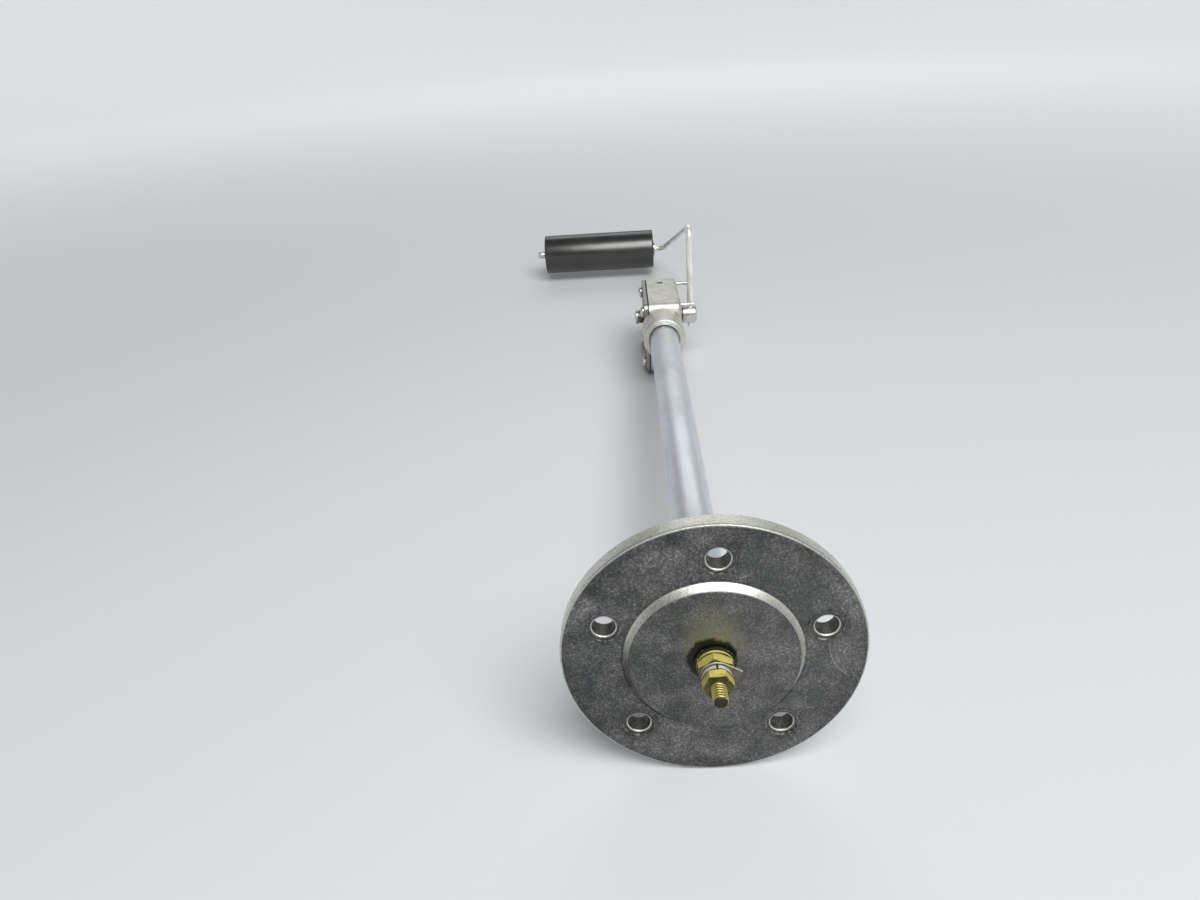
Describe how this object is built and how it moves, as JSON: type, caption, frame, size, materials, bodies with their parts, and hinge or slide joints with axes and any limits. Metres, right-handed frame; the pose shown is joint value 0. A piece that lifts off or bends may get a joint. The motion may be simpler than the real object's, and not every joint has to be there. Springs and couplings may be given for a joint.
{
  "type": "fuel level transmitter",
  "caption": "Float type fuel level transmitter with a round bolted flange, an insulated brass terminal, a straight tube stem, a cast sender head and a bent wire float arm.",
  "frame": {"origin": "centre of the flange's mounting face, on the stem's axis", "axes": "+Y along the stem into the tank, +Z towards the side of the head that the arm's short leg points to at rest, +X to the right when looking along +Y from the terminal"},
  "size_m": [0.1063, 0.414, 0.0775],
  "materials": {
    "cast_flange": "mottled dark cast",
    "aluminium_tube": "satin drawn",
    "cast_head": "die cast",
    "cover_plate": "satin",
    "bright_steel": "bright",
    "stainless_wire": "bright drawn",
    "brass": "aged",
    "nickel_plate": "nickel plated",
    "black_insulator": "moulded",
    "gasket_fibre": "matte",
    "float_rubber": "satin closed cell",
    "card_fibre": "fibre board",
    "resistance_wire": "dull drawn",
    "contact_silver": "polished",
    "lead_sleeve": "varnished sleeve"
  },
  "bodies": {
    "root": {"mounting_flange": "cast_flange", "stem_tube": "aluminium_tube", "terminal_outer_insulator": "black_insulator", "terminal_inner_insulator": "black_insulator", "terminal_stud": "brass", "terminal_flat_washer": "brass", "stud_locknut": "brass", "terminal_tag": "nickel_plate", "terminal_spring_washer": "nickel_plate", "terminal_nut": "brass", "inner_stud_washer": "brass", "inner_stud_nut": "brass", "lead_wire": "lead_sleeve", "sender_housing": "cast_head", "cover_gasket": "gasket_fibre", "housing_cover": "cover_plate", "cover_screw_1": "bright_steel", "cover_screw_2": "bright_steel", "cover_screw_3": "bright_steel", "cover_screw_4": "bright_steel", "housing_bush": "brass", "cover_bush": "brass", "stop_pin_front": "bright_steel", "stop_pin_back": "bright_steel", "element_card": "card_fibre", "resistance_winding": "resistance_wire", "card_screw_front": "bright_steel", "card_screw_back": "bright_steel"},
    "float_arm": {"pivot_shaft": "bright_steel", "arm_clamp_screw": "bright_steel", "shaft_end_ring": "bright_steel", "float_arm_wire": "stainless_wire", "wiper_hub": "black_insulator", "wiper_blade": "brass", "wiper_contact": "contact_silver", "float_washer": "bright_steel", "float_end_cap": "bright_steel"},
    "turning_float": {"float": "float_rubber"}
  },
  "joints": [
    {"name": "float_arm_swing", "type": "hinge", "parent": "root", "child": "float_arm", "pos_m": [0, 0.25, -0.0012], "axis": [1, 0, 0], "range_deg": [-50, 50]},
    {"name": "float_spin", "type": "hinge", "parent": "float_arm", "child": "turning_float", "pos_m": [-0.0318, 0.3822, -0.0012], "axis": [1, 0, 0], "continuous": true}
  ]
}
